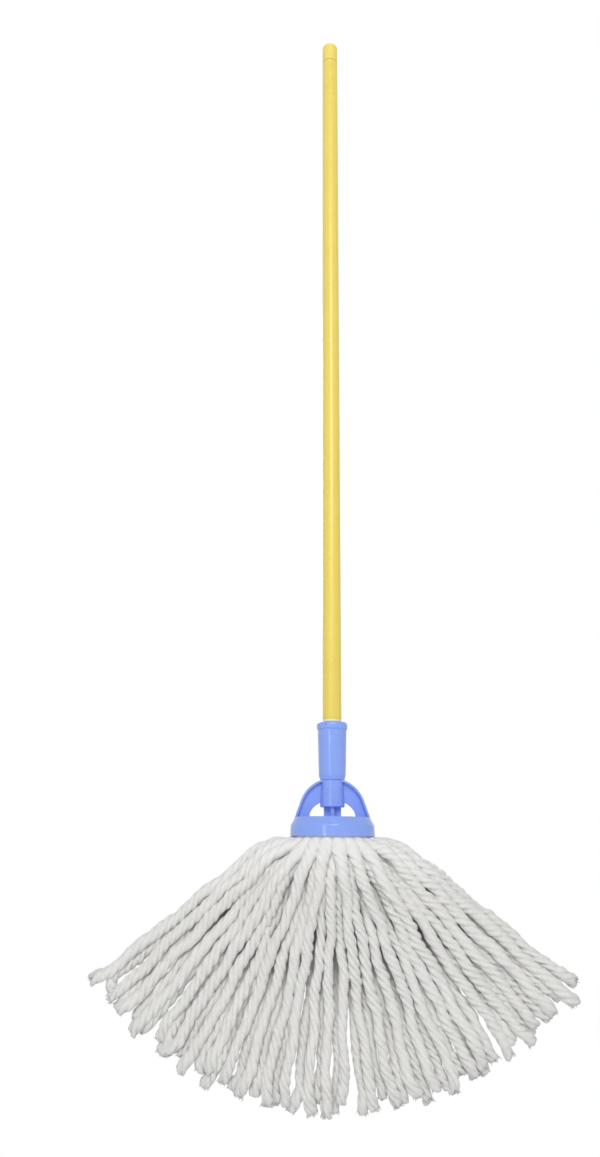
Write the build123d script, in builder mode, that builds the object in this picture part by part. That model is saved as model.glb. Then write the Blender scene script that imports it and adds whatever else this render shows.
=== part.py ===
from build123d import *

import math
import os

# Round mop: a steel handle in a yellow film, clamped in a blue plastic head whose arch carries a cup of
# cotton yarn. Millimetres. +Z runs up the handle and -Y is the front, where the fanned yarn is seen broad.
# The origin is on the handle's axis, at the mouth of the lock sleeve.

# Handle: a thin steel tube with a shrunk film on the length that is held, and a plastic plug in each end.
handle_radius = 11.0
film_wall = 0.3
tube_wall = 0.5
grip_length = 985.0
cap_height = 30.0
cap_edge = 2.5
cap_plug_length = 36.0
cap_wall = 2.2
end_plug_length = 24.0
end_plug_head = 1.5

# Fits between pieces.
press_gap = 0.02
slide_gap = 0.08
thread_gap = 0.3
cone_gap = 0.15
mouth_gap = 0.3
seat_gap = 0.3
yarn_gap = 0.3

# Lock sleeve: the turning collar whose cone closes the grip ring on the tube.
sleeve_length = 66.0
sleeve_bead = 1.15
sleeve_bead_height = 8.0
sleeve_bead_edge = 4.0
sleeve_bead_foot = 1.0
sleeve_top_wall = 3.9
sleeve_foot_wall = 2.7
sleeve_end_wall = 1.3
sleeve_foot_height = 5.0

# Grip ring: a split ring with a cone outside, between the sleeve's cone and the neck's top.
ring_depth = 9.0
ring_length = 12.0
ring_top_wall = 0.9
ring_slit = 2.0

# Neck: the socket for the handle, at the top of the head.
neck_wall = 1.84
neck_step = 0.5
neck_flare = 1.1
neck_edge = 1.6
socket_depth = 26.0
socket_floor = 2.8

# Stem: crossed ribs between the neck and the cup.
stem_height = 10.5
stem_width = 19.6
stem_rib = 4.2
stem_edge = 0.5

# Arch: a flanged web over the stem, from one side of the cup to the other.
arch_leg_height = 17.8
arch_leg_angle = 70.0
arch_flange = 2.6
arch_depth = 16.0
arch_web = 5.0
arch_edge = 0.6
window_half_width = 26.2
window_height = 18.5

# Cup: the bell that holds the yarn, with a sunk deck on top.
cup_top_radius = 42.4
cup_shoulder_radius = 47.4
cup_mouth_radius = 48.1
cup_shoulder_drop = 9.0
cup_height = 21.0
cup_wall = 2.0
cup_edge = 2.0
cup_rim_edge = 0.6
deck_recess = 2.0
deck_thickness = 3.0
deck_lip = 2.4

# Clamp in the cup: a boss under the deck takes a screw that pulls a disc against the yarn's sewn roots.
boss_radius = 6.0
screw_radius = 2.4
screw_length = 17.0
screw_head_radius = 4.6
screw_head_height = 3.0
screw_recess_width = 1.2
screw_recess_length = 5.0
screw_recess_depth = 1.6
washer_radius = 6.2
washer_thickness = 1.0
disc_radius = 14.0
disc_thickness = 3.0
disc_edge = 0.8

# Yarn: rings of strands in sewn sectors, combed out to the sides in a fan.
sector_count = 6
sector_gap_angle = 0.5
ring_count = 3
root_thickness = 10.0
root_sink = 5.0
root_margin = 0.6
strand_diameter = 9.4
strand_tip_diameter = 11.0
strand_gap = 0.7
strand_length = 275.0
strand_length_spread = 5.0
strand_length_step = 2.2
strand_exit = 2.1
strand_bend_radius = 8.0
strand_sweep_radius = 60.0
strand_landing_radius = 80.0
strand_flare_run = 35.0
fan_angle = 52.5
flare_angle = 87.0
flare_nesting = 0.85
front_lean = 0.3
landing_share = 0.63
landing_layer = 5.5
landing_spread = 0.15
tip_layer = 4.0
tip_spread = 0.05

# Heights and radii that follow from the values above.
film_bore = handle_radius - film_wall
tube_radius = film_bore - press_gap
tube_bore = tube_radius - tube_wall
tube_foot = -sleeve_length - socket_depth
plug_radius = tube_bore - press_gap
cap_top = grip_length + cap_height

ring_top = -ring_depth
ring_foot = ring_top - ring_length
ring_bore = tube_radius + slide_gap
ring_top_radius = ring_bore + ring_top_wall

neck_top = ring_foot - seat_gap
shoulder_height = -sleeve_length - seat_gap
neck_floor = tube_foot - end_plug_head - seat_gap
neck_foot = neck_floor - socket_floor
socket_radius = tube_radius + slide_gap
neck_thread_radius = socket_radius + neck_wall
neck_top_radius = neck_thread_radius + neck_step
neck_foot_radius = neck_top_radius + neck_flare

sleeve_bore = neck_thread_radius + thread_gap
sleeve_end_radius = sleeve_bore + sleeve_end_wall
sleeve_foot_radius = sleeve_bore + sleeve_foot_wall
sleeve_top_radius = sleeve_bore + sleeve_top_wall
sleeve_rim_radius = sleeve_top_radius + sleeve_bead
cone_top_radius = ring_top_radius + cone_gap
mouth_bore = handle_radius + mouth_gap

cup_top = neck_foot - stem_height
deck_top = cup_top - deck_recess
deck_foot = deck_top - deck_thickness
cup_shoulder = cup_top - cup_shoulder_drop
cup_mouth = cup_top - cup_height
root_foot = deck_foot - root_thickness
disc_top = root_foot - yarn_gap
disc_foot = disc_top - disc_thickness
washer_foot = disc_foot - washer_thickness
boss_foot = disc_top + seat_gap
screw_bore = screw_radius + press_gap

os.makedirs("parts", exist_ok=True)


def save(piece, name):
    """Names a finished piece and writes it to its own file."""
    piece.label = name
    export_step(piece, f"parts/{name}.step")


def circles(piece, radius):
    """The round edges of a piece that have this radius."""
    rounds = piece.edges().filter_by(GeomType.CIRCLE)
    return rounds.filter_by(lambda edge: math.isclose(edge.radius, radius, abs_tol=0.001))


# Steel tube, open at both ends until the plugs close it.
with BuildPart() as handle_tube:
    with BuildSketch(Plane.XY.offset(tube_foot)):
        Circle(tube_radius)
        Circle(tube_bore, mode=Mode.SUBTRACT)
    extrude(amount=grip_length - tube_foot)
save(handle_tube.part, "handle_tube")

# Yellow film, shrunk on the tube from the sleeve's mouth to the cap.
with BuildPart() as handle_film:
    with BuildSketch(Plane.XY):
        Circle(handle_radius)
        Circle(film_bore, mode=Mode.SUBTRACT)
    extrude(amount=grip_length)
save(handle_film.part, "handle_film")

# End cap: a flush head on the tube's top end, with a hollow plug pressed into it.
with BuildPart() as end_cap:
    with BuildSketch(Plane.XY.offset(grip_length)):
        Circle(handle_radius)
    extrude(amount=cap_height)
    fillet(end_cap.edges().sort_by(Axis.Z)[-1], cap_edge)
    with BuildSketch(Plane.XY.offset(grip_length)):
        Circle(plug_radius)
    extrude(amount=-cap_plug_length)
    chamfer(end_cap.edges().sort_by(Axis.Z)[0], press_gap + tube_wall)
    with BuildSketch(Plane.XY.offset(grip_length - cap_plug_length)):
        Circle(plug_radius - cap_wall)
    extrude(amount=cap_plug_length + cap_height - cap_wall, mode=Mode.SUBTRACT)
save(end_cap.part, "end_cap")

# End plug: closes the tube's lower end and stands on the socket's floor.
with BuildPart() as end_plug:
    with BuildSketch(Plane.XY.offset(tube_foot)):
        Circle(tube_radius)
    extrude(amount=-end_plug_head)
    with BuildSketch(Plane.XY.offset(tube_foot)):
        Circle(plug_radius)
    extrude(amount=end_plug_length)
    chamfer(end_plug.edges().sort_by(Axis.Z)[-1], press_gap + tube_wall)
    with BuildSketch(Plane.XY.offset(tube_foot + end_plug_length)):
        Circle(plug_radius - cap_wall)
    extrude(amount=-end_plug_length, mode=Mode.SUBTRACT)
save(end_plug.part, "end_plug")

# Grip ring: its cone lies in the sleeve's cone, and the slit lets it close on the tube.
with BuildPart() as grip_ring:
    with BuildSketch(Plane.XZ):
        with BuildLine():
            Polyline(
                (ring_bore, ring_foot),
                (neck_thread_radius, ring_foot),
                (ring_top_radius, ring_top),
                (ring_bore, ring_top),
                close=True,
            )
        make_face()
    revolve(axis=Axis.Z)
    with BuildSketch(Plane.XY.offset(ring_foot)):
        with Locations((0, handle_radius)):
            Rectangle(ring_slit, 2 * ring_top_wall + handle_radius)
    extrude(amount=ring_length, mode=Mode.SUBTRACT)
save(grip_ring.part, "grip_ring")

# Lock sleeve: a bead round the mouth, a slight taper, a rounded foot, and the thread's bore inside.
with BuildPart() as lock_sleeve:
    with BuildSketch(Plane.XZ):
        with BuildLine():
            Polyline(
                (mouth_bore, 0),
                (sleeve_rim_radius, 0),
                (sleeve_rim_radius, -sleeve_bead_height),
                (sleeve_top_radius, -sleeve_bead_height - sleeve_bead),
                (sleeve_foot_radius, -sleeve_length + sleeve_foot_height),
                (sleeve_end_radius, -sleeve_length),
                (sleeve_bore, -sleeve_length),
                (sleeve_bore, ring_foot),
                (cone_top_radius, ring_top + seat_gap),
                (mouth_bore, ring_top + seat_gap + cone_top_radius - mouth_bore),
                close=True,
            )
        make_face()
    revolve(axis=Axis.Z)
    fillet(circles(lock_sleeve, sleeve_rim_radius).sort_by(Axis.Z)[-1], sleeve_bead_edge)
    fillet(circles(lock_sleeve, sleeve_rim_radius).sort_by(Axis.Z)[0], sleeve_bead_foot)
    fillet(circles(lock_sleeve, sleeve_foot_radius), sleeve_foot_height / 2)
save(lock_sleeve.part, "lock_sleeve")

# Head frame: neck, crossed stem, arch and cup, moulded in one.
arch_half_width = cup_top_radius
arch_base = deck_top - deck_thickness / 2
leg_slope = math.tan(math.radians(arch_leg_angle))
leg_top_x = arch_half_width - arch_leg_height / leg_slope
crown_radius = leg_top_x / math.sin(math.radians(arch_leg_angle))
crown_height = arch_leg_height - leg_top_x / leg_slope + crown_radius
base_drop = cup_top - arch_base


def arch_outline(inset):
    """The arch seen from the front, drawn in from its outer face by inset, above the cup's top."""
    foot_x = arch_half_width - inset / math.sin(math.radians(arch_leg_angle))
    top_x = leg_top_x - inset * math.sin(math.radians(arch_leg_angle))
    top_z = arch_leg_height - inset * math.cos(math.radians(arch_leg_angle))
    with BuildLine() as outline:
        Line((-foot_x, -base_drop), (foot_x, -base_drop))
        Line((foot_x, -base_drop), (foot_x, 0))
        Line((foot_x, 0), (top_x, top_z))
        ThreePointArc((top_x, top_z), (0, crown_height - inset), (-top_x, top_z))
        Line((-top_x, top_z), (-foot_x, 0))
        Line((-foot_x, 0), (-foot_x, -base_drop))
    return outline.line


front = Plane(origin=(0, 0, cup_top), x_dir=(1, 0, 0), z_dir=(0, -1, 0))


def cup_radius(z):
    """The cup's outer radius at a height."""
    if z > cup_shoulder:
        share = (cup_top - z) / cup_shoulder_drop
        return cup_top_radius + (cup_shoulder_radius - cup_top_radius) * share
    share = (cup_shoulder - z) / (cup_shoulder - cup_mouth)
    return cup_shoulder_radius + (cup_mouth_radius - cup_shoulder_radius) * share


with BuildPart() as head_frame:
    # Flange of the arch.
    with BuildSketch(front):
        make_face(arch_outline(0))
        make_face(arch_outline(arch_flange), mode=Mode.SUBTRACT)
    extrude(amount=arch_depth / 2, both=True)
    flange_edges = head_frame.faces().filter_by(Axis.Y).edges()
    fillet(flange_edges.filter_by(lambda edge: edge.center().Z > arch_base + arch_edge), arch_edge)
    # Web of the arch, with the window under it.
    with BuildSketch(front):
        make_face(arch_outline(arch_flange / 2))
        Ellipse(window_half_width, window_height, mode=Mode.SUBTRACT)
    extrude(amount=arch_web / 2, both=True)
    fillet(head_frame.edges().filter_by(GeomType.ELLIPSE), arch_edge)
    # Crossed ribs of the stem.
    with BuildSketch(Plane.XY.offset(deck_top - deck_thickness / 2)) as stem:
        Rectangle(stem_width, stem_rib)
        Rectangle(stem_rib, stem_width)
        fillet(stem.vertices().filter_by(lambda corner: abs(corner.X) + abs(corner.Y) > stem_rib), stem_edge)
    extrude(amount=neck_floor - socket_floor / 2 - deck_top + deck_thickness / 2)
    # Cup with its sunk deck and the boss for the clamp screw.
    with BuildSketch(Plane.XZ):
        with BuildLine():
            Polyline(
                (0, boss_foot),
                (boss_radius, boss_foot),
                (boss_radius, deck_foot),
                (cup_radius(deck_foot) - cup_wall, deck_foot),
                (cup_shoulder_radius - cup_wall, cup_shoulder),
                (cup_mouth_radius - cup_wall, cup_mouth),
                (cup_mouth_radius, cup_mouth),
                (cup_shoulder_radius, cup_shoulder),
                (cup_top_radius, cup_top),
                (cup_top_radius - deck_lip, cup_top),
                (cup_top_radius - deck_lip, deck_top),
                (0, deck_top),
                close=True,
            )
        make_face()
    revolve(axis=Axis.Z)
    # Neck, stepped in where the sleeve's thread runs on it.
    with BuildSketch(Plane.XZ):
        with BuildLine():
            Polyline(
                (0, neck_foot),
                (neck_foot_radius, neck_foot),
                (neck_top_radius, shoulder_height),
                (neck_thread_radius, shoulder_height),
                (neck_thread_radius, neck_top),
                (0, neck_top),
                close=True,
            )
        make_face()
    revolve(axis=Axis.Z)
    # Everything above the neck's shoulder outside the thread is clear for the sleeve.
    with BuildSketch(Plane.XY.offset(shoulder_height)):
        Circle(sleeve_rim_radius + arch_half_width)
        Circle(neck_thread_radius, mode=Mode.SUBTRACT)
    extrude(amount=crown_height + sleeve_length, mode=Mode.SUBTRACT)
    # Socket for the tube and pilot hole for the clamp screw.
    with BuildSketch(Plane.XY.offset(neck_floor)):
        Circle(socket_radius)
    extrude(amount=neck_top - neck_floor, mode=Mode.SUBTRACT)
    with BuildSketch(Plane.XY.offset(boss_foot)):
        Circle(screw_bore)
    extrude(amount=screw_length - boss_foot + washer_foot, mode=Mode.SUBTRACT)
    fillet(circles(head_frame, cup_shoulder_radius), cup_edge)
    fillet(circles(head_frame, cup_mouth_radius), cup_rim_edge)
    fillet(circles(head_frame, neck_foot_radius), neck_edge)
save(head_frame.part, "head_frame")

# Clamp disc, washer and screw, up the middle of the cup.
with BuildPart() as clamp_disc:
    with BuildSketch(Plane.XY.offset(disc_foot)):
        Circle(disc_radius)
        Circle(screw_bore, mode=Mode.SUBTRACT)
    extrude(amount=disc_thickness)
    fillet(circles(clamp_disc, disc_radius), disc_edge)
save(clamp_disc.part, "clamp_disc")

with BuildPart() as clamp_washer:
    with BuildSketch(Plane.XY.offset(washer_foot)):
        Circle(washer_radius)
        Circle(screw_bore, mode=Mode.SUBTRACT)
    extrude(amount=washer_thickness)
save(clamp_washer.part, "clamp_washer")

with BuildPart() as clamp_screw:
    with BuildSketch(Plane.XY.offset(washer_foot - screw_head_height)):
        Circle(screw_head_radius)
    extrude(amount=screw_head_height)
    fillet(clamp_screw.edges().sort_by(Axis.Z)[0], screw_head_height / 2)
    with BuildSketch(Plane.XY.offset(washer_foot)):
        Circle(screw_radius)
    extrude(amount=screw_length - seat_gap)
    chamfer(clamp_screw.edges().sort_by(Axis.Z)[-1], screw_radius / 2)
    with BuildSketch(Plane.XY.offset(washer_foot - screw_head_height)):
        Rectangle(screw_recess_length, screw_recess_width)
        Rectangle(screw_recess_width, screw_recess_length)
    extrude(amount=screw_recess_depth, mode=Mode.SUBTRACT)
save(clamp_screw.part, "clamp_screw")

# Yarn roots: where each strand hangs from, ring by ring and sector by sector.
sector_angle = 360 / sector_count
strand_pitch = strand_diameter + strand_gap
outer_ring_radius = cup_radius(root_foot) - cup_wall - yarn_gap - root_margin - strand_diameter / 2
roots = []
for ring in range(ring_count):
    ring_radius = outer_ring_radius - ring * strand_pitch
    pitch_angle = 2 * math.degrees(math.asin(strand_pitch / (2 * ring_radius)))
    per_sector = int(sector_angle / pitch_angle)
    for sector in range(sector_count):
        for place in range(per_sector):
            angle = math.radians(sector_angle * (sector + (place + 0.5) / per_sector))
            roots.append((ring_radius * math.cos(angle), ring_radius * math.sin(angle), ring, sector))

# The strands are combed out in the order in which they stand from left to right, at even angles. Front
# and back ones take turns, and come together in two flat layers at their cut ends.
roots.sort(key=lambda root: (round(root[0], 3), -abs(root[1])))
front_roots = [root for root in roots if root[1] < 0]
back_roots = [root for root in roots if root[1] > 0]
roots = [root for pair in zip(front_roots, back_roots) for root in pair]
strand_count = len(roots)


def strand_points(rank):
    """The corners of a strand's route: down out of the cup, outwards, in to its layer and along the fan."""
    x, y, ring, sector = roots[rank]
    share = (2 * rank + 1) / strand_count - 1
    fan = math.radians(fan_angle * share)
    flare = math.radians(flare_angle * share)
    inside = math.sqrt(max(outer_ring_radius**2 - y**2, 0)) - abs(x)
    drop = strand_bend_radius * math.tan(abs(flare) / 2) + flare_nesting * inside * abs(math.sin(flare))
    bend = Vector(x, y, cup_mouth + strand_exit - drop)
    outwards = Vector(math.sin(flare), front_lean * y / outer_ring_radius, -math.cos(flare))
    turn = bend + outwards * strand_flare_run
    uneven = strand_length_spread * math.sin(strand_length_step * rank)
    free = strand_length + uneven - strand_flare_run - (cup_mouth - bend.Z)
    combed = Vector(math.sin(fan), 0, -math.cos(fan))
    landing = turn + combed * (landing_share * free)
    landing.Y = math.copysign(landing_layer + landing_spread * abs(y), y)
    tip = turn + combed * free
    tip.Y = math.copysign(tip_layer + tip_spread * abs(y), y)
    along = (tip - landing).normalized()
    landing_turn = math.radians((landing - turn).get_angle(along))
    loose = landing + along * (strand_landing_radius * math.tan(landing_turn / 2) + strand_gap)
    return Vector(x, y, root_foot + root_sink), bend, turn, landing, loose, tip


def strand(rank):
    """One strand: a round rod as far as its last turn, and from there a rod that swells to the cut end."""
    *corners, loose, tip = strand_points(rank)
    along = (tip - loose).normalized()
    with BuildPart() as rod:
        with BuildLine() as route:
            FilletPolyline(
                *corners,
                loose,
                radius=[strand_bend_radius, strand_sweep_radius, strand_landing_radius],
            )
        with BuildSketch(Plane(origin=route.line @ 0, z_dir=route.line % 0)):
            Circle(strand_diameter / 2)
        sweep(path=route.line)
        with BuildSketch(Plane(origin=loose, x_dir=(0, 1, 0), z_dir=along)):
            Circle(strand_diameter / 2)
        with BuildSketch(Plane(origin=tip, x_dir=(0, 1, 0), z_dir=along)):
            Circle(strand_tip_diameter / 2)
        loft()
    return rod.part


# Each sector of the sewn roots is two bundles: the outer ring of strands, and the rings inside it.
split_radius = outer_ring_radius - strand_pitch / 2
root_inner_radius = boss_radius + yarn_gap


def root_slice(inner, outer_top, outer_mid, outer_foot, sector):
    """A slice of the root pad between two radii, over one sector."""
    section = Plane.XZ.rotated((0, 0, sector_angle * sector + sector_gap_angle / 2))
    with BuildPart() as pad:
        with BuildSketch(section):
            with BuildLine():
                Polyline(
                    (inner, root_foot),
                    (outer_foot, root_foot),
                    (outer_mid, cup_shoulder),
                    (outer_top, deck_foot),
                    (inner, deck_foot),
                    close=True,
                )
            make_face()
        revolve(axis=Axis.Z, revolution_arc=sector_angle - sector_gap_angle)
    return pad.part


wall_gap = cup_wall + yarn_gap
for sector in range(sector_count):
    outer_ranks = [i for i in range(strand_count) if roots[i][2] == 0 and roots[i][3] == sector]
    inner_ranks = [i for i in range(strand_count) if roots[i][2] > 0 and roots[i][3] == sector]
    outer_slice = root_slice(
        split_radius + yarn_gap / 2,
        cup_radius(deck_foot) - wall_gap,
        cup_shoulder_radius - wall_gap,
        cup_radius(root_foot) - wall_gap,
        sector,
    )
    inner_edge = split_radius - yarn_gap / 2
    inner_slice = root_slice(root_inner_radius, inner_edge, inner_edge, inner_edge, sector)
    with BuildPart() as outer_bundle:
        add([outer_slice] + [strand(rank) for rank in outer_ranks])
    save(outer_bundle.part, f"yarn_outer_{sector + 1}")
    with BuildPart() as inner_bundle:
        add([inner_slice] + [strand(rank) for rank in inner_ranks])
    save(inner_bundle.part, f"yarn_inner_{sector + 1}")

print("strands", strand_count, "handle", round(cap_top - tube_foot), "mouth", round(cup_mouth, 1))
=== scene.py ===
import bpy
import math
import random
import numpy as np
from mathutils import Matrix, Vector


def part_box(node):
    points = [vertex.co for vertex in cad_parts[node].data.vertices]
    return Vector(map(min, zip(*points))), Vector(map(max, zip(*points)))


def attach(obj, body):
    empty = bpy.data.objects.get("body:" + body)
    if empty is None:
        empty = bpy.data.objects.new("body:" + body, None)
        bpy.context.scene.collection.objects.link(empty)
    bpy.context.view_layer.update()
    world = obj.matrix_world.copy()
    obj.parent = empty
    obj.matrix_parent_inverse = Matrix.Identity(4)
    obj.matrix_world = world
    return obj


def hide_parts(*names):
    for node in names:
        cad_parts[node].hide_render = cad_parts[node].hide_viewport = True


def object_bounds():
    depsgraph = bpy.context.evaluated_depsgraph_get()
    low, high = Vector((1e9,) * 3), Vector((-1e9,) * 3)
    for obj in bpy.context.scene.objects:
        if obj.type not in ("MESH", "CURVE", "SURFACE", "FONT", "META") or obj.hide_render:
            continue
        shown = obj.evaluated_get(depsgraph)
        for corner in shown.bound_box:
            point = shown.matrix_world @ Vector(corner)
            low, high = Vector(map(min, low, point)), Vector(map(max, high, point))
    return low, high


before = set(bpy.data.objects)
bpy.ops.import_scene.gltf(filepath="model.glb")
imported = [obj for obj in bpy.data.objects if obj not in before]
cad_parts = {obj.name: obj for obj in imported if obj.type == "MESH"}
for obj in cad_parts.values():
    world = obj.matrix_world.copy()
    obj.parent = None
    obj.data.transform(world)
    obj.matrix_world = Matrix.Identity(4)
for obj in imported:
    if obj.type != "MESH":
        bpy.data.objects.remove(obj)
cad_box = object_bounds()
bpy.ops.object.select_all(action="DESELECT")

# Handle tube: a thin steel tube, drawn and then polished along its length with a fine belt.
# Most of it is under the film. Its bare lower end stands in the sleeve and the neck.
surface_inputs = {
    "Vector": "NodeSocketVector",
    "Dark": "NodeSocketColor",
    "Light": "NodeSocketColor",
    "Smoothest": "NodeSocketFloat",
    "Roughest": "NodeSocketFloat",
}
surface_outputs = {"Color": "NodeSocketColor", "Roughness": "NodeSocketFloat", "Height": "NodeSocketFloat"}
pattern_low, pattern_high = 0.3, 0.7


def start_material(name, colour, roughness):
    """A new material with its shader, and Object coordinates to lay patterns on."""
    material = bpy.data.materials.new(name)
    material.use_nodes = True
    tree = material.node_tree
    shader = tree.nodes["Principled BSDF"]
    shader.inputs["Base Color"].default_value = (*colour, 1.0)
    shader.inputs["Roughness"].default_value = roughness
    place = tree.nodes.new("ShaderNodeTexCoord")
    return material, tree, shader, place.outputs["Object"]


def finish_node(name, material):
    """Gives a CAD node its material."""
    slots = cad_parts[name].data.materials
    slots.clear()
    slots.append(material)


def feed(tree, socket, value):
    """Joins a node's input to another node's output, or sets it to a value."""
    if isinstance(value, bpy.types.NodeSocket):
        tree.links.new(value, socket)
    else:
        socket.default_value = value


def add_noise(tree, vector, scale, detail, roughness=0.5, distortion=0.0):
    """A cloudy pattern laid on a vector."""
    noise = tree.nodes.new("ShaderNodeTexNoise")
    feed(tree, noise.inputs["Vector"], vector)
    feed(tree, noise.inputs["Scale"], scale)
    feed(tree, noise.inputs["Detail"], detail)
    feed(tree, noise.inputs["Roughness"], roughness)
    feed(tree, noise.inputs["Distortion"], distortion)
    return noise.outputs["Fac"]


def add_stretch(tree, vector, scale):
    """A vector scaled by its own amount in each direction."""
    stretch = tree.nodes.new("ShaderNodeMapping")
    feed(tree, stretch.inputs["Scale"], scale)
    feed(tree, stretch.inputs["Vector"], vector)
    return stretch.outputs["Vector"]


def add_math(tree, operation, *values):
    """The result of a sum with numbers and other nodes' outputs."""
    node = tree.nodes.new("ShaderNodeMath")
    node.operation = operation
    for socket, value in zip(node.inputs, values):
        feed(tree, socket, value)
    return node.outputs["Value"]


def add_mix(tree, share, first, second):
    """A mix of two colours, each given as a colour or as another node's output."""
    mix = tree.nodes.new("ShaderNodeMix")
    mix.data_type = "RGBA"
    feed(tree, mix.inputs["Factor"], share)
    feed(tree, mix.inputs["A"], first)
    feed(tree, mix.inputs["B"], second)
    return mix.outputs["Result"]


def add_range(tree, value, low, high, first, last, slope="LINEAR"):
    """Spreads the values between low and high over the range from first to last."""
    spread = tree.nodes.new("ShaderNodeMapRange")
    spread.interpolation_type = slope
    feed(tree, spread.inputs["Value"], value)
    feed(tree, spread.inputs["From Min"], low)
    feed(tree, spread.inputs["From Max"], high)
    feed(tree, spread.inputs["To Min"], first)
    feed(tree, spread.inputs["To Max"], last)
    return spread.outputs["Result"]


def add_bump(tree, shader, height, strength, depth):
    """Joins a fine relief to the shader's normal."""
    bump = tree.nodes.new("ShaderNodeBump")
    bump.inputs["Strength"].default_value = strength
    bump.inputs["Distance"].default_value = depth
    feed(tree, bump.inputs["Height"], height)
    feed(tree, shader.inputs["Normal"], bump.outputs["Normal"])


def start_group(name, inputs):
    """An empty node group for a surface that several materials share, with what it is given and makes."""
    group = bpy.data.node_groups.new(name, "ShaderNodeTree")
    for way, sockets in (("INPUT", inputs), ("OUTPUT", surface_outputs)):
        for socket, kind in sockets.items():
            group.interface.new_socket(socket, in_out=way, socket_type=kind)
    return group, group.nodes.new("NodeGroupInput").outputs, group.nodes.new("NodeGroupOutput").inputs


def end_group(group, given, made, pattern, height):
    """Lays a group's pattern on its colour and roughness, and its finer marks on its height."""
    feed(group, made["Color"], add_mix(group, pattern, given["Dark"], given["Light"]))
    gloss = add_range(group, pattern, pattern_low, pattern_high, given["Smoothest"], given["Roughest"])
    feed(group, made["Roughness"], gloss)
    feed(group, made["Height"], height)


def lay_surface(tree, shader, group, vector, tones, bump_strength, bump_depth):
    """Places a group in a material, joins it to the shader and returns its colour."""
    surface = tree.nodes.new("ShaderNodeGroup")
    surface.node_tree = group
    feed(tree, surface.inputs["Vector"], vector)
    for socket, tone in tones.items():
        surface.inputs[socket].default_value = tone
    feed(tree, shader.inputs["Base Color"], surface.outputs["Color"])
    feed(tree, shader.inputs["Roughness"], surface.outputs["Roughness"])
    add_bump(tree, shader, surface.outputs["Height"], bump_strength, bump_depth)
    return surface.outputs["Color"]


# Lengthwise streaks, as left by drawing a tube or stretching a film: long in Z and fine across.
streaks, given, made = start_group("lengthwise_streaks", {**surface_inputs, "Fineness": "NodeSocketFloat"})
lengthwise = add_stretch(streaks, given["Vector"], (1.0, 1.0, 0.012))
lines = add_noise(streaks, lengthwise, scale=given["Fineness"], detail=4.0)
clouds = add_noise(streaks, given["Vector"], scale=22.0, detail=3.0)
half_clouds = add_math(streaks, "MULTIPLY", clouds, 0.5)
lines_and_clouds = add_math(streaks, "MULTIPLY_ADD", lines, 0.5, half_clouds)
end_group(streaks, given, made, pattern=lines_and_clouds, height=lines)

steel, tree, shader, at = start_material("drawn_steel", (0.6, 0.61, 0.63), 0.3)
shader.inputs["Metallic"].default_value = 1.0
steel_tones = {
    "Fineness": 1400.0,
    "Dark": (0.5, 0.51, 0.53, 1),
    "Light": (0.68, 0.69, 0.71, 1),
    "Smoothest": 0.25,
    "Roughest": 0.4,
}
lay_surface(tree, shader, streaks, at, steel_tones, bump_strength=0.25, bump_depth=0.0001)
finish_node("handle_tube", steel)

# Handle film: a clear plastic skin with yellow inside, shrunk on the tube with heat. It is smooth and a
# little glossy, with faint streaks where it was stretched. The yellow stops short of its lower edge, and
# a thin band of painted shadow darkens its upper edge under the cap.
film_bare_edge = 0.0024
cap_shadow_band = 0.0012
bare_film = (0.88, 0.85, 0.68, 1)
painted_cap_shadow = (0.42, 0.32, 0.055, 1)


def add_height(tree, vector):
    """The height at which a vector lies, its Z."""
    parts = tree.nodes.new("ShaderNodeSeparateXYZ")
    feed(tree, parts.inputs["Vector"], vector)
    return parts.outputs["Z"]


film, tree, shader, at = start_material("yellow_film", (0.79, 0.62, 0.1), 0.3)
film_tones = {
    "Fineness": 420.0,
    "Dark": (0.735, 0.565, 0.08, 1),
    "Light": (0.84, 0.68, 0.125, 1),
    "Smoothest": 0.22,
    "Roughest": 0.38,
}
yellow = lay_surface(tree, shader, streaks, at, film_tones, bump_strength=0.12, bump_depth=0.0002)
height = add_height(tree, at)
at_foot = add_math(tree, "LESS_THAN", height, film_bare_edge)
# Painted shadow: a thin dark band along the film's top edge, just under the cap.
under_cap_shadow = add_math(tree, "GREATER_THAN", height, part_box("handle_film")[1].z - cap_shadow_band)
edged = add_mix(tree, at_foot, yellow, bare_film)
cap_shadowed = add_mix(tree, under_cap_shadow, edged, painted_cap_shadow)
feed(tree, shader.inputs["Base Color"], cap_shadowed)
finish_node("handle_film", film)

# End cap: a yellow plastic plug, moulded a shade paler than the film and pushed into the tube's top.
# It has the slightly cloudy, finely grained surface of a moulding.
moulding_grain_depth = 0.0001
marks, given, made = start_group("moulding_marks", surface_inputs)
flow = add_noise(marks, given["Vector"], scale=45.0, detail=3.0, distortion=0.6)
grain = add_noise(marks, given["Vector"], scale=1500.0, detail=2.0)
end_group(marks, given, made, pattern=flow, height=grain)


def moulded_plastic(name, colour, roughness, tones, bump_strength):
    """A plastic with the marks of its mould."""
    plastic, tree, shader, at = start_material(name, colour, roughness)
    lay_surface(tree, shader, marks, at, tones, bump_strength, moulding_grain_depth)
    return plastic


cap_tones = {
    "Dark": (0.77, 0.605, 0.1, 1),
    "Light": (0.85, 0.69, 0.14, 1),
    "Smoothest": 0.3,
    "Roughest": 0.42,
}
cap = moulded_plastic("yellow_moulding", (0.81, 0.65, 0.12), 0.4, cap_tones, bump_strength=0.2)
finish_node("end_cap", cap)

# End plug and grip ring: small white mouldings inside the socket. The plug closes the tube's lower
# end, and the split ring is squeezed on the tube by the sleeve.
white_tones = {
    "Dark": (0.66, 0.66, 0.64, 1),
    "Light": (0.76, 0.76, 0.74, 1),
    "Smoothest": 0.42,
    "Roughest": 0.58,
}
white = moulded_plastic("white_moulding", (0.72, 0.72, 0.7), 0.5, white_tones, bump_strength=0.3)
finish_node("end_plug", white)
finish_node("grip_ring", white)

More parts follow.
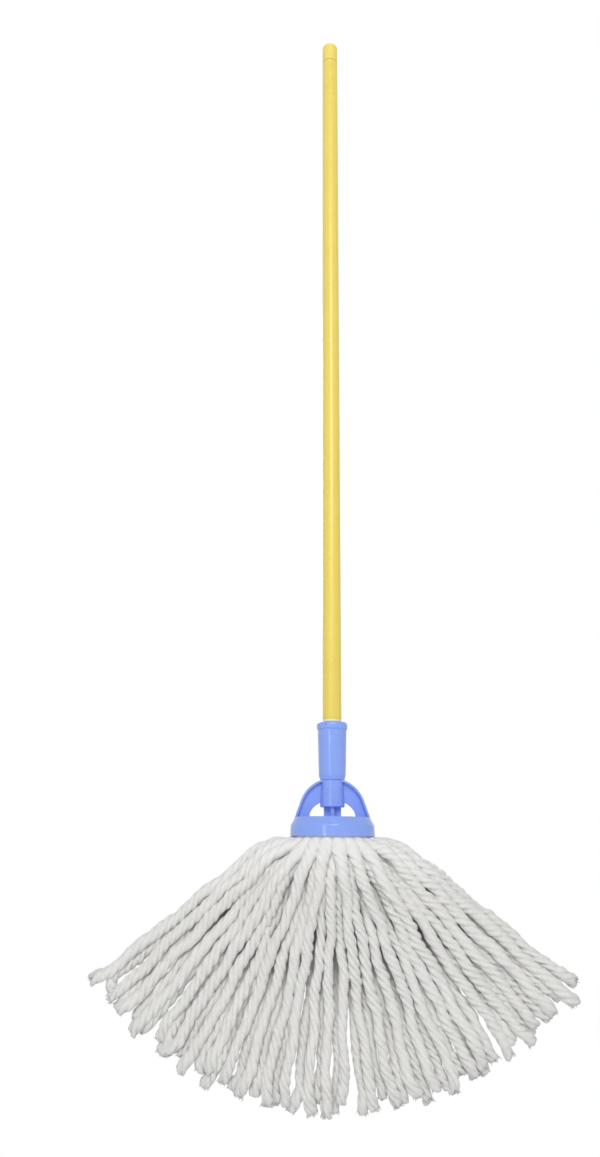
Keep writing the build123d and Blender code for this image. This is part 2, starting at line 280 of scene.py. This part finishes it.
# Lock sleeve and head frame: blue plastic mouldings with a soft gloss. The sleeve screws down on the
# neck, and the neck, arch and cup come out of one mould.
blue_tones = {
    "Dark": (0.21, 0.33, 0.83, 1),
    "Light": (0.255, 0.385, 0.89, 1),
    "Smoothest": 0.11,
    "Roughest": 0.19,
}
blue = moulded_plastic("blue_moulding", (0.235, 0.36, 0.86), 0.15, blue_tones, bump_strength=0.18)
finish_node("lock_sleeve", blue)
finish_node("head_frame", blue)

# Clamp under the cup: a white disc with a steel washer and screw, which pull the yarn's sewn roots up
# against the deck.
finish_node("clamp_disc", white)
finish_node("clamp_washer", steel)
finish_node("clamp_screw", steel)

# Yarn strand: soft cotton yarns in four plies, twisted together and cut to length. One straight strand
# is modelled here, with its plies parting at the cut end, and the mop's strands are copies of it.
strand_run = 0.28
strand_radius = 0.0059
strand_sides = 32
strand_rings = 140
ring_step = strand_run / strand_rings
ply_count = 4
ply_angle = math.tau / ply_count
ply_lead = 0.042
strand_twist = -math.tau * strand_run / ply_lead
groove_width = 0.05
side_tolerance = 0.02
ring_tolerance = 1e-5


def select_only(*pieces):
    """Leaves these objects selected and nothing else, with the first of them active."""
    bpy.ops.object.select_all(action="DESELECT")
    for piece in pieces:
        piece.select_set(True)
    bpy.context.view_layer.objects.active = pieces[0]


def select_points(piece, chosen):
    """Selects a mesh's vertices by their place, and leaves the piece in edit mode."""
    select_only(piece)
    bpy.ops.object.mode_set(mode="EDIT")
    bpy.ops.mesh.select_mode(type="VERT")
    bpy.ops.mesh.select_all(action="DESELECT")
    bpy.ops.object.mode_set(mode="OBJECT")
    for vertex in piece.data.vertices:
        vertex.select = bool(chosen(vertex.co))
    bpy.ops.object.mode_set(mode="EDIT")


def draw_in(piece, chosen, share):
    """Draws the chosen points of a strand in towards its axis, or spreads them from it."""
    select_points(piece, chosen)
    bpy.ops.transform.resize(value=(share, share, 1), center_override=(0, 0, 0))
    bpy.ops.object.mode_set(mode="OBJECT")


def close_mesh(piece):
    """Closes a piece's open ends, turns its faces outwards and smooths it."""
    select_only(piece)
    bpy.ops.object.mode_set(mode="EDIT")
    bpy.ops.mesh.select_all(action="SELECT")
    bpy.ops.mesh.fill_holes(sides=0)
    bpy.ops.mesh.normals_make_consistent(inside=False)
    bpy.ops.object.mode_set(mode="OBJECT")
    bpy.ops.object.shade_smooth()


def untwist(x, y, z):
    """The angle at which a point lies round the strand, with the twist taken out."""
    return np.arctan2(y, x) - strand_twist * z / strand_run


def across_ply(angle):
    """How a point lies across its ply: 0 in the groove between two plies and 1 in the middle of one."""
    return np.abs(np.sin(0.5 * ply_count * angle))


# The section: each step gives a place across a ply and how far the points there are drawn in.
groove_steps = ((0.0, 0.74), (0.383, 0.85), (0.707, 0.935), (0.924, 0.985))
bpy.ops.mesh.primitive_circle_add(vertices=strand_sides, radius=strand_radius)
strand = bpy.context.active_object
strand.name = "strand"
for place, drawn in groove_steps:
    draw_in(strand, lambda co: abs(across_ply(untwist(*co)) - place) < side_tolerance, drawn)
twist = strand.modifiers.new("twist", "SCREW")
twist.axis = "Z"
twist.angle = strand_twist
twist.screw_offset = strand_run
twist.steps = strand_rings
twist.render_steps = strand_rings
bpy.ops.object.modifier_apply(modifier="twist")

# The cut end: over the last rings the strand spreads and the grooves between its plies open. Then it is
# narrowed and closed. Each step gives the rings from the end, the spread and the draw of the grooves.
cut_steps = ((4, 1.02, 1.0), (3, 1.05, 0.96), (2, 1.07, 0.92), (1, 1.05, 0.86), (0, 0.96, 0.8))
cut_rise = 0.4 * ring_step
cut_narrowing = 0.7


def on_ring(co):
    """Whether a point lies on the ring that a step of the cut end shapes."""
    return abs(co.z - ring_height) < ring_tolerance


for rings_back, spread, groove_draw in cut_steps:
    ring_height = strand_run - rings_back * ring_step
    draw_in(strand, on_ring, spread)
    draw_in(strand, lambda co: on_ring(co) and across_ply(untwist(*co)) < groove_width, groove_draw)
select_points(strand, lambda co: co.z > strand_run - ring_tolerance)
bpy.ops.mesh.extrude_region_move(TRANSFORM_OT_translate={"value": (0, 0, cut_rise)})
bpy.ops.transform.resize(value=(cut_narrowing, cut_narrowing, 1), center_override=(0, 0, 0))
bpy.ops.object.mode_set(mode="OBJECT")
close_mesh(strand)

# Patterns on the yarn follow the plies: each point keeps its place across and along its own ply, whether
# it is on the ply's crown, and how near it is to the cut end. Where strands are pressed, all is crown.
ply_middle_radius = 0.5 * strand_radius
ply_shift = 0.7
crown_foot = 0.3
crown_rise = 0.22
cut_length = 0.016


def smooth_step(along, low, high):
    """A smooth step from 0 to 1 along a strand."""
    share = np.clip((along - low) / (high - low), 0, 1)
    return share * share * (3 - 2 * share)


def keep_pattern(piece, fibre, crown, cut):
    """Stores on each point of the yarn what its material reads."""
    layers = piece.data.attributes
    layers.new("fibre", "FLOAT_VECTOR", "POINT").data.foreach_set("vector", fibre.ravel())
    layers.new("crown", "FLOAT", "POINT").data.foreach_set("value", np.clip(crown, 0, 1))
    layers.new("cut", "FLOAT", "POINT").data.foreach_set("value", np.clip(cut, 0, 1))


points = np.array([vertex.co for vertex in strand.data.vertices])
along = points[:, 2] / strand_run
angles = untwist(*points.T)
ply_of = np.floor(angles / ply_angle).astype(int) % ply_count
ply_middle = across_ply(angles)
middle_angle = (ply_of + 0.5) * ply_angle + strand_twist * along
outwards = np.stack([np.cos(middle_angle), np.sin(middle_angle)], axis=1)
off_middle = points[:, :2] - ply_middle_radius * outwards
fibre = np.stack(
    [
        off_middle[:, 0] * outwards[:, 0] + off_middle[:, 1] * outwards[:, 1],
        off_middle[:, 1] * outwards[:, 0] - off_middle[:, 0] * outwards[:, 1],
        points[:, 2] + ply_shift * ply_of,
    ],
    axis=1,
)
depth = 1 - np.hypot(points[:, 0], points[:, 1]) / strand_radius
pressed = 1 - smooth_step(along, 0.06, 0.28)
crown = np.maximum((crown_foot - depth) / crown_rise, pressed)
keep_pattern(strand, fibre, crown, cut=(points[:, 2] - strand_run + cut_length) / cut_length)

# Loose cotton at the cut ends: a lock of fibres that tapers and bends over, a few of them at each end.
# Each step gives its rise, its drift to one side and how far it narrows.
tuft_sides = 4
tuft_radius = 0.0012
tuft_steps = ((0.0022, 0.0002, 0.9), (0.0022, 0.0005, 0.75), (0.0016, 0.0008, 0.5))
# The tufts take a little of the cotton's painted groove shade.
tuft_crown = 0.8
bpy.ops.mesh.primitive_circle_add(vertices=tuft_sides, radius=tuft_radius)
tuft = bpy.context.active_object
tuft.name = "tuft"
bpy.ops.object.mode_set(mode="EDIT")
bpy.ops.mesh.select_all(action="SELECT")
tuft_top = Vector((0, 0, 0))
for rise, drift, narrowing in tuft_steps:
    bpy.ops.mesh.extrude_region_move(TRANSFORM_OT_translate={"value": (drift, 0, rise)})
    tuft_top += Vector((drift, 0, rise))
    bpy.ops.transform.resize(value=(narrowing, narrowing, narrowing), center_override=tuft_top)
bpy.ops.object.mode_set(mode="OBJECT")
close_mesh(tuft)
tuft_points = np.array([vertex.co for vertex in tuft.data.vertices])
keep_pattern(tuft, tuft_points, np.full(len(tuft_points), tuft_crown), np.ones(len(tuft_points)))

# Cotton: undyed off-white, matt and soft, with fine fibres along each ply. Painted shade greys it down in
# the twist, it is a little greyer at the cut ends, and painted light makes it whiter near the cup.
cotton_shade = (0.735, 0.73, 0.71, 1)
cotton_light = (0.815, 0.812, 0.792, 1)
fibre_shade = (0.65, 0.645, 0.625, 1)
lump_shade = (0.6, 0.597, 0.58, 1)
painted_top_light = (0.9, 0.897, 0.88, 1)
painted_groove_shade = (0.71, 0.7, 0.68, 1)
cut_shade = (0.52, 0.52, 0.515, 1)
most_fibre, most_lump, most_top_light, most_cut = 0.3, 0.35, 0.45, 0.4
top_light_foot, top_light_top = -0.2, -0.14


def read_pattern(tree, name):
    """The node that reads what keep_pattern stored under a name."""
    pattern = tree.nodes.new("ShaderNodeAttribute")
    pattern.attribute_name = name
    return pattern


cotton, tree, shader, at = start_material("cotton_yarn", (0.82, 0.81, 0.785), 0.92)
shader.inputs["Sheen Weight"].default_value = 0.2
shader.inputs["Sheen Roughness"].default_value = 0.5
shader.inputs["Specular IOR Level"].default_value = 0.2
along_ply = add_stretch(tree, read_pattern(tree, "fibre").outputs["Vector"], (1.0, 1.0, 0.1))
fibres = add_noise(tree, along_ply, scale=1300.0, detail=4.0, roughness=0.65)
blotches = add_noise(tree, at, scale=28.0, detail=3.0)
lumps = add_noise(tree, at, scale=330.0, detail=2.0)
fibre_share = add_range(tree, fibres, low=0.3, high=0.75, first=0.0, last=most_fibre)
lump_share = add_range(tree, lumps, low=0.4, high=0.7, first=0.0, last=most_lump)
height = add_height(tree, at)
# Painted light: the cotton turns whiter towards the cup's mouth.
top_light_share = add_range(tree, height, top_light_foot, top_light_top, 0.0, most_top_light, slope="SMOOTHSTEP")
cut_share = add_math(tree, "MULTIPLY", read_pattern(tree, "cut").outputs["Fac"], most_cut)
pale = add_mix(tree, blotches, cotton_shade, cotton_light)
fibrous = add_mix(tree, fibre_share, pale, fibre_shade)
lumpy = add_mix(tree, lump_share, fibrous, lump_shade)
top_lit = add_mix(tree, top_light_share, lumpy, painted_top_light)
# Painted shade: off the plies' crowns, down in the twist, the cotton is mixed towards a grey.
twisted = add_mix(tree, read_pattern(tree, "crown").outputs["Fac"], painted_groove_shade, top_lit)
frayed = add_mix(tree, cut_share, twisted, cut_shade)
feed(tree, shader.inputs["Base Color"], frayed)
add_bump(tree, shader, fibres, strength=0.5, depth=0.0005)
strand.data.materials.append(cotton)
tuft.data.materials.append(cotton)

# Yarn bundles: the strands stand in three rings in the cup, sewn into a pad in six sectors, and are
# combed out to both sides in a fan. They are pressed flat together in the cup's mouth and swell past its
# rim. Each copy has its own length, roll, thickness, twist, sway and frayed end.
head_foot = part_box("head_frame")[0].z
sector_count = 6
sector_angle = math.tau / sector_count
ring_count = 3
outer_ring_radius = 0.04015
strand_pitch = 0.0101
root_rise = 0.011
root_height = head_foot + root_rise
roots = []
for ring in range(ring_count):
    ring_radius = outer_ring_radius - ring * strand_pitch
    per_sector = int(sector_angle / (2 * math.asin(strand_pitch / (2 * ring_radius))))
    for sector in range(sector_count):
        for place in range(per_sector):
            angle = sector_angle * (sector + (place + 0.5) / per_sector)
            roots.append((ring_radius * math.cos(angle), ring_radius * math.sin(angle), ring, sector))
roots.sort(key=lambda root: (round(root[0], 6), -abs(root[1])))
front_roots = [root for root in roots if root[1] < 0]
back_roots = [root for root in roots if root[1] > 0]
roots = [root for pair in zip(front_roots, back_roots) for root in pair]
strand_count = len(roots)

# The routes: each strand leaves the cup, bends under its rim, turns into the fan and lands in its flat.
# Turns and tips are combed evenly among neighbours, with a few partings left and one end hooked over.
strand_length = 0.275
strand_length_spread = 0.005
strand_length_step = 2.2
strand_exit = 0.0021
strand_bend_radius = 0.008
strand_flare_run = 0.035
strand_sweep_radius = 0.06
strand_landing_radius = 0.08
least_turn = 0.002
turn_handle = 0.6
root_handle = 0.3
fan_angle = math.radians(52.5)
flare_angle = math.radians(87)
flare_power = 1.3
flare_nesting = 0.74
front_lean = 0.3
combed_over = 4
turned_over = 3
landing_share = 0.53
landing_layer = 0.0042
landing_spread = 0.03
landing_stray = 0.0014
tip_layer = 0.0022
tip_spread = 0.02
tip_stray = 0.0026
tip_shortest, tip_longest = -0.0045, 0.003
partings = (1.5, 28.5, 36.5, 43.5)
parting_width = 0.006
parting_reach = 1.5
hook_run = 0.024
hook_angle = 0.25
hooked_rank = 1
hooked_angle = 0.9
waist_handle_before, waist_handle_after = 0.02, 0.01
tip_handle = 0.01


def turn_corner(before, corner, after, radius):
    """The two ends of a round turn in a strand's route, each with its place and its two handles."""
    back = (before - corner).normalized()
    onward = (after - corner).normalized()
    reach = max(radius * math.tan((math.pi - back.angle(onward)) / 2), least_turn)
    enter = corner + back * reach
    leave = corner + onward * reach
    return [
        (enter, enter + back * reach * turn_handle, enter - back * reach * turn_handle),
        (leave, leave - onward * reach * turn_handle, leave + onward * reach * turn_handle),
    ]


def leave_cup(x, y, flare):
    """Where a strand bends under the cup's rim, and where it then turns into the fan."""
    inside = math.sqrt(max(outer_ring_radius**2 - y**2, 0)) - abs(x)
    drop = strand_bend_radius * math.tan(abs(flare) / 2) + flare_nesting * inside * abs(math.sin(flare))
    bend = Vector((x, y, head_foot + strand_exit - drop))
    outwards = Vector((math.sin(flare), front_lean * y / outer_ring_radius, -math.cos(flare)))
    return bend, bend + outwards * strand_flare_run


def fan_share(rank):
    """A strand's share of the fan: 0 in the middle, and almost -1 and 1 at the two sides."""
    return (2 * rank + 1) / strand_count - 1


def strand_course(rank):
    """Where a strand starts, bends, turns into the fan and ends, before it is combed. The tips are spread
    evenly, but the middle strands leave the cup steeper than that."""
    x, y = roots[rank][:2]
    share = fan_share(rank)
    fan = fan_angle * share
    bend, turn = leave_cup(x, y, flare_angle * share)
    free = strand_length - strand_flare_run - (head_foot - bend.z)
    tip = turn + Vector((math.sin(fan), 0, -math.cos(fan))) * free
    bend, turn = leave_cup(x, y, math.copysign(flare_angle * abs(share) ** flare_power, share))
    return Vector((x, y, root_height)), bend, turn, tip


starts, bends, turns, tips = zip(*[strand_course(rank) for rank in range(strand_count)])


def mean_near(places, rank, reach):
    """The mean place of a strand and its neighbours, as many on one side of it as on the other."""
    reach = min(reach, rank, len(places) - 1 - rank)
    near = places[rank - reach : rank + reach + 1]
    return sum(near, Vector()) / len(near)


def strand_route(rank, chance):
    """A strand's route as a smooth curve, with its turn and end combed evenly among its neighbours."""
    start, bend = starts[rank], bends[rank]
    tip = mean_near(tips, rank, combed_over)
    evened = mean_near(turns[rank % 2 :: 2], rank // 2, turned_over)
    turn = Vector((evened.x, (turns[rank].y + evened.y) / 2, evened.z))
    combed = (tip - turn) * Vector((1, 0, 1))
    combed.normalize()
    sideways = Vector((-combed.z, 0, combed.x))
    tip += combed * strand_length_spread * math.sin(strand_length_step * rank)
    tip += combed * chance.uniform(tip_shortest, tip_longest)
    tip += sideways * chance.uniform(-tip_stray, tip_stray)
    landing = turn.lerp(tip, landing_share) + sideways * chance.uniform(-landing_stray, landing_stray)
    for parting in partings:
        aside = rank - parting
        tip += sideways * math.copysign(parting_width, aside) * math.exp(-abs(aside) / parting_reach)
    landing.y = math.copysign(landing_layer + landing_spread * abs(start.y), start.y)
    tip.y = math.copysign(tip_layer + tip_spread * abs(start.y), start.y)
    onward = (tip - landing).normalized()
    waist = tip - onward * hook_run
    hook = chance.uniform(-hook_angle, hook_angle)
    if rank == hooked_rank:
        hook = hooked_angle
    hooked = onward * math.cos(hook) + sideways * math.sin(hook)
    tip = waist + hooked * hook_run
    return [
        (start, start, start.lerp(bend, root_handle)),
        *turn_corner(start, bend, turn, strand_bend_radius),
        *turn_corner(bend, turn, landing, strand_sweep_radius),
        *turn_corner(turn, landing, tip, strand_landing_radius),
        (waist, waist - onward * waist_handle_before, waist + onward * waist_handle_after),
        (tip, tip - hooked * tip_handle, tip),
    ]


def lay_route(rank, chance):
    """Lays a strand's route as a curve, and measures its length."""
    route = bpy.data.curves.new("route", "CURVE")
    route.dimensions = "3D"
    line = route.splines.new("BEZIER")
    anchors = strand_route(rank, chance)
    line.bezier_points.add(len(anchors) - 1)
    for point, (place, before, after) in zip(line.bezier_points, anchors):
        point.handle_left_type = "FREE"
        point.handle_right_type = "FREE"
        point.co = place
        point.handle_left = before
        point.handle_right = after
    line.resolution_u = 24
    path = bpy.data.objects.new("route", route)
    bpy.context.scene.collection.objects.link(path)
    return path, line.calc_length()


# The strands' own unevenness. Thickness is a share of the straight strand's, and what changes along a
# strand does so over a share of its length.
root_thickness = 0.88
rim_share, side_rim_share = 0.036, 0.05
rim_swell = 0.3
rim_swell_run = 0.045
combed_slimming = 0.15
waist_fullness = 0.13
middle_slimming = 0.17
rim_swell_chance = (-0.03, 0.05)
loosened_swell_chance = (0.0, 0.25)
slow_bulge, slow_bulge_pace = 0.09, (12, 20)
quick_bulge, quick_bulge_pace = 0.1, (35, 55)
root_slack = 0.9
slack_chance = (-0.15, 0.45)
slack_wave, slack_pace = 0.35, (9, 16)
ragged_chance = (-0.006, 0.002)
roll_chance = (-5, 9)
roll_wave, roll_pace = 0.8, (8, 14)
sway, sway_pace = 0.0011, (16, 24)
quick_sway, quick_sway_pace = 0.5 * sway, (35, 50)
last_phase = 6
press_share = 0.4
out_of_cup = smooth_step(along, 0.0, 0.17)
combed_out = smooth_step(along, 0.08, 0.3)
past_flare = smooth_step(along, 0.12, 0.35)
loosened = smooth_step(along, 0.84, 0.98)
crowded = 1 - smooth_step(along[::strand_sides], 0.05, 0.15)
fullness = waist_fullness * np.sin(math.pi * np.clip(along, 0, 1)) * out_of_cup


def wave(chance, pace):
    """A wave along a strand, with its pace and phase left to chance."""
    return np.sin(along * chance.uniform(*pace) + chance.uniform(0, last_phase))


def uneven_points(rank, chance, length):
    """The points of a straight strand with its own length, thickness, roll, sway and ragged plies."""
    bulges = []
    for ply in range(ply_count):
        bulge = slow_bulge * wave(chance, slow_bulge_pace)
        bulges.append(bulge + quick_bulge * wave(chance, quick_bulge_pace))
    share = fan_share(rank)
    past_rim = rim_share + side_rim_share * share**2
    swell = smooth_step(along, past_rim, past_rim + rim_swell_run)
    thickness = root_thickness + rim_swell * swell - combed_slimming * combed_out + fullness
    thickness = thickness + swell * chance.uniform(*rim_swell_chance)
    thickness = thickness + loosened * chance.uniform(*loosened_swell_chance)
    thickness = thickness * (1 - middle_slimming * (1 - abs(share)) ** 2 * past_flare)
    thickness = thickness * (1 + np.choose(ply_of, bulges) * ply_middle * out_of_cup)
    slack = chance.uniform(*slack_chance) + slack_wave * wave(chance, slack_pace)
    slack = root_slack + (slack - root_slack) * combed_out
    thickness = thickness * (1 + slack * depth)
    ragged = np.choose(ply_of, [chance.uniform(*ragged_chance) for ply in range(ply_count)])
    roll = chance.uniform(0, math.tau) + along * chance.uniform(*roll_chance)
    roll = roll + roll_wave * wave(chance, roll_pace)
    across = (points[:, 0] * np.cos(roll) - points[:, 1] * np.sin(roll)) * thickness
    deep = (points[:, 0] * np.sin(roll) + points[:, 1] * np.cos(roll)) * thickness
    across = across + sway * out_of_cup * wave(chance, sway_pace)
    across = across + quick_sway * out_of_cup * wave(chance, quick_sway_pace)
    deep = deep + sway * out_of_cup * wave(chance, sway_pace)
    return np.stack([across, deep, along * length + ragged * loosened * ply_middle], axis=1)


# The frayed ends: tufts stand in the cut end, lean outwards and are of several sizes.
tuft_count = 9
tuft_spread = 0.9 * strand_radius
tuft_sink = 0.003
tuft_lean = (0.1, 0.5)
tuft_spin = (-1, 1)
tuft_size = (0.5, 0.8)


def copy_of(piece):
    """A copy of a piece with a mesh of its own."""
    copy = piece.copy()
    copy.data = piece.data.copy()
    bpy.context.scene.collection.objects.link(copy)
    return copy


def fray(chance, length):
    """Loose locks of cotton round the cut end of a straight strand."""
    tufts = [copy_of(tuft) for number in range(tuft_count)]
    for lock in tufts:
        reach = tuft_spread * math.sqrt(chance.random())
        angle = chance.uniform(0, math.tau)
        lean = chance.uniform(*tuft_lean) * reach / strand_radius
        stand = Matrix.Translation((reach * math.cos(angle), reach * math.sin(angle), length - tuft_sink))
        tilt = Matrix.Rotation(angle, 4, "Z") @ Matrix.Rotation(lean, 4, "Y")
        spin = Matrix.Rotation(chance.uniform(*tuft_spin), 4, "Z")
        lock.data.transform(stand @ tilt @ spin @ Matrix.Scale(chance.uniform(*tuft_size), 4))
    return tufts


def press_together(piece, rank):
    """Flattens a strand against its neighbours where they crowd together in the cup's mouth."""
    x, y = roots[rank][:2]
    beside = np.array((-y, x, 0)) / math.hypot(x, y)
    places = np.array([vertex.co for vertex in piece.data.vertices])
    rings = places[: len(points)].reshape(-1, strand_sides, 3)
    off_centre = rings - rings.mean(axis=1, keepdims=True)
    rings += beside * (off_centre @ beside)[..., None] * press_share * crowded[:, None, None]
    piece.data.vertices.foreach_set("co", places.ravel())


def lay_strand(rank):
    """Copies the straight strand, makes it uneven, frays its end and bends it along its route."""
    chance = random.Random(rank)
    path, length = lay_route(rank, chance)
    piece = copy_of(strand)
    piece.data.vertices.foreach_set("co", uneven_points(rank, chance, length).ravel())
    select_only(piece, *fray(chance, length))
    bpy.ops.object.join()
    follow = piece.modifiers.new("follow", "CURVE")
    follow.object = path
    follow.deform_axis = "POS_Z"
    bpy.ops.object.modifier_apply(modifier="follow")
    bpy.data.objects.remove(path)
    press_together(piece, rank)
    return piece


# The sewn pads: each is a section of the roots' ring, spun over its sector up to a narrow seam.
pad_seam = math.radians(0.5)
pad_steps = 10
pad_edge = 0.0006
# The pads take some of the cotton's painted groove shade.
pad_crown = 0.6
pad_foot, pad_bulge, pad_top = 0.006, 0.012, 0.016
outer_pad_bore, outer_pad_foot, outer_pad_bulge, outer_pad_top = 0.0353, 0.0454, 0.0451, 0.0422
inner_pad_bore, inner_pad_edge = 0.0063, 0.0349
pad_profiles = {
    "outer": [
        (outer_pad_bore, pad_foot),
        (outer_pad_foot, pad_foot),
        (outer_pad_bulge, pad_bulge),
        (outer_pad_top, pad_top),
        (outer_pad_bore, pad_top),
    ],
    "inner": [
        (inner_pad_bore, pad_foot),
        (inner_pad_edge, pad_foot),
        (inner_pad_edge, pad_top),
        (inner_pad_bore, pad_top),
    ],
}
bundle_rings = {"outer": (0,), "inner": (1, 2)}


def sew_pad(profile, sector):
    """One sector of the sewn roots: its section spun round the handle's axis, with soft edges."""
    bpy.ops.mesh.primitive_circle_add(vertices=len(profile))
    pad = bpy.context.active_object
    for vertex, (radius, height) in zip(pad.data.vertices, profile):
        vertex.co = (radius, 0, head_foot + height)
    pad.data.transform(Matrix.Rotation(sector_angle * sector + pad_seam / 2, 4, "Z"))
    bpy.ops.object.mode_set(mode="EDIT")
    bpy.ops.mesh.select_all(action="SELECT")
    bpy.ops.mesh.spin(steps=pad_steps, angle=sector_angle - pad_seam, center=(0, 0, 0), axis=(0, 0, 1))
    bpy.ops.object.mode_set(mode="OBJECT")
    close_mesh(pad)
    edges = pad.modifiers.new("soft_edges", "BEVEL")
    edges.width = pad_edge
    edges.segments = 2
    bpy.ops.object.modifier_apply(modifier="soft_edges")
    places = np.array([vertex.co for vertex in pad.data.vertices])
    keep_pattern(pad, places, np.full(len(places), pad_crown), np.zeros(len(places)))
    pad.data.materials.append(cotton)
    return pad


for sector in range(sector_count):
    for name, rings in bundle_rings.items():
        strands = []
        for rank, root in enumerate(roots):
            if root[2] in rings and root[3] == sector:
                strands.append(lay_strand(rank))
        select_only(*strands, sew_pad(pad_profiles[name], sector))
        bpy.ops.object.join()
        bundle = bpy.context.active_object
        bundle.name = f"yarn_bundle_{name}_{sector + 1}"
        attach(bundle, "head")
        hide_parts(f"yarn_{name}_{sector + 1}")
bpy.data.objects.remove(strand)
bpy.data.objects.remove(tuft)

# Stage: a pale floor well under the strands, under a white studio sky. The floor takes the mop's soft
# shadow near it, fades to plain white further off and is clear from below.
floor_drop = 0.16
floor_size = 14
fade_start, fade_end = 0.15, 0.38
sky_strength = 0.5
white_light = (1, 1, 1, 1)


def seen_rays(tree):
    """How much a ray is one that shows the background: from the camera, a reflection or through glass."""
    rays = tree.nodes.new("ShaderNodeLightPath").outputs
    seen = add_math(tree, "MAXIMUM", rays["Is Camera Ray"], rays["Is Glossy Ray"])
    return add_math(tree, "MAXIMUM", seen, rays["Is Transmission Ray"])


def mix_shaders(tree, share, first, second):
    """A mix of two shaders."""
    mix = tree.nodes.new("ShaderNodeMixShader")
    for socket, value in zip(mix.inputs, (share, first, second)):
        feed(tree, socket, value)
    return mix.outputs["Shader"]


bpy.ops.mesh.primitive_plane_add(size=floor_size, location=(0, 0, cad_box[0].z - floor_drop))
floor = bpy.context.active_object
floor.name = "floor"
bpy.ops.object.transform_apply()
floor_white, tree, shader, at = start_material("floor_white", (0.93, 0.93, 0.93), 0.9)
from_middle = tree.nodes.new("ShaderNodeVectorMath")
from_middle.operation = "LENGTH"
feed(tree, from_middle.inputs[0], add_stretch(tree, at, (1, 1, 0)))
far_off = add_range(tree, from_middle.outputs["Value"], fade_start, fade_end, 0.0, 1.0, slope="SMOOTHSTEP")
white_share = add_math(tree, "MULTIPLY", seen_rays(tree), far_off)
glow = tree.nodes.new("ShaderNodeEmission").outputs["Emission"]
upper_side = mix_shaders(tree, white_share, shader.outputs["BSDF"], glow)
underside = tree.nodes.new("ShaderNodeNewGeometry").outputs["Backfacing"]
clear = tree.nodes.new("ShaderNodeBsdfTransparent").outputs["BSDF"]
one_way = mix_shaders(tree, underside, upper_side, clear)
feed(tree, tree.nodes["Material Output"].inputs["Surface"], one_way)
floor.data.materials.append(floor_white)

world = bpy.data.worlds.new("studio")
bpy.context.scene.world = world
world.use_nodes = True
tree = world.node_tree
ambient = tree.nodes["Background"]
ambient.inputs["Color"].default_value = white_light
ambient.inputs["Strength"].default_value = sky_strength
backdrop = tree.nodes.new("ShaderNodeBackground")
backdrop.inputs["Color"].default_value = white_light
sky = mix_shaders(tree, seen_rays(tree), ambient.outputs["Background"], backdrop.outputs["Background"])
feed(tree, tree.nodes["World Output"].inputs["Surface"], sky)
bpy.context.scene.view_settings.view_transform = "Standard"

# Lamps: a large soft box high behind the camera as the key, a narrow strip at its left, which draws the
# thin upright gleam on the sleeve and the cup, and a weaker box that lights the back.
lamp_target = Vector((0, 0, 0.2))
for name, place, size, energy in (
    ("key", (0.3, -4.2, 2.6), (2.0, 2.0), 98.0),
    ("strip", (-0.75, -1.88, 0.4), (0.04, 1.3), 4.5),
    ("back", (-0.6, 4.2, 2.2), (2.0, 2.0), 60.0),
):
    aim = (lamp_target - Vector(place)).to_track_quat("-Z", "Y")
    bpy.ops.object.light_add(type="AREA", location=place, rotation=aim.to_euler())
    lamp = bpy.context.active_object
    lamp.name = name
    lamp.data.shape = "RECTANGLE"
    lamp.data.size, lamp.data.size_y = size
    lamp.data.energy = energy

# Camera: low and close in front of the mop, and pitched up. Its lens is fitted to the widths of the
# stick at its two ends, and is given in pixels of a picture as tall as the photograph.
picture_height = 1157
focal_pixels = 860
camera_place = Vector((-0.0062, -1.014, -0.132))
pitch, yaw, roll = math.radians(16.9), math.radians(1.85), math.radians(0.45)
raised = Matrix.Rotation(math.pi / 2 + pitch, 3, "X")
turned = Matrix.Rotation(yaw, 3, "Z") @ raised @ Matrix.Rotation(roll, 3, "Z")
bpy.ops.object.camera_add(location=camera_place, rotation=turned.to_euler())
camera = bpy.context.active_object
camera.data.sensor_width = 36.0
camera.data.lens = camera.data.sensor_width * focal_pixels / picture_height
camera.data.clip_start = 0.01
bpy.context.scene.camera = camera
